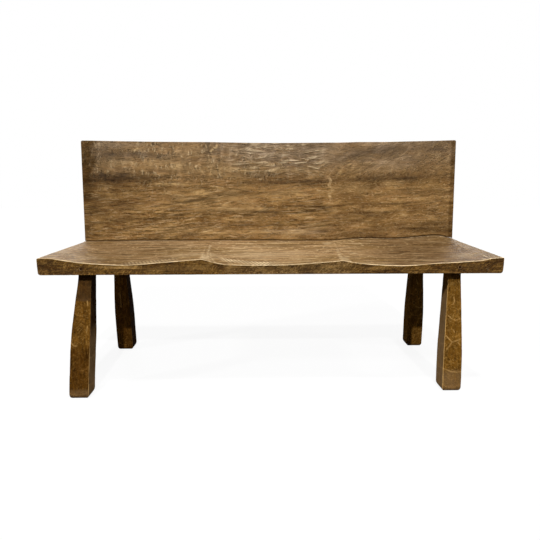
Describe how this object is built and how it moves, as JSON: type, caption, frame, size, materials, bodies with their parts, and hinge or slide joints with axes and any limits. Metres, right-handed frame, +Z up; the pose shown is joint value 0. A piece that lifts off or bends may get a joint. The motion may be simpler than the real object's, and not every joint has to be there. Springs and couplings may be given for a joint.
{
  "type": "monks bench",
  "caption": "Long carved hardwood bench with a scooped plank seat, a reclined plank back and splayed hewn legs tenoned in from below.",
  "frame": {"origin": "middle of the bench's footprint box, on the floor under the seat", "axes": "+X along the bench to the right as seen from the front, +Y from the seat's front edge towards the back plank, +Z up"},
  "size_m": [1.5, 0.5214, 0.8627],
  "materials": {
    "seat_wood": "hand-carved hardwood, waxed and worn",
    "back_wood": "hand-carved hardwood, waxed, dark figure",
    "leg_wood": "hewn hardwood, dark wax",
    "peg_wood": "end grain, dark wax",
    "tenon_wood": "planed, unfinished",
    "screw_steel": "zinc plated",
    "washer_steel": "zinc plated"
  },
  "bodies": {
    "root": {"seat_slab": "seat_wood", "back_plank": "back_wood", "leg_front_left": "leg_wood", "leg_front_right": "leg_wood", "leg_rear_left": "leg_wood", "leg_rear_right": "leg_wood", "leg_peg_front_left": "peg_wood", "leg_peg_front_right": "peg_wood", "leg_peg_rear_left": "peg_wood", "leg_peg_rear_right": "peg_wood", "slip_tenon_1": "tenon_wood", "slip_tenon_2": "tenon_wood", "slip_tenon_3": "tenon_wood", "slip_tenon_4": "tenon_wood", "slip_tenon_5": "tenon_wood", "coach_screw_1": "screw_steel", "coach_screw_2": "screw_steel", "coach_screw_3": "screw_steel", "coach_screw_4": "screw_steel", "coach_screw_5": "screw_steel", "coach_screw_6": "screw_steel", "screw_washer_1": "washer_steel", "screw_washer_2": "washer_steel", "screw_washer_3": "washer_steel", "screw_washer_4": "washer_steel", "screw_washer_5": "washer_steel", "screw_washer_6": "washer_steel"}
  },
  "joints": []
}
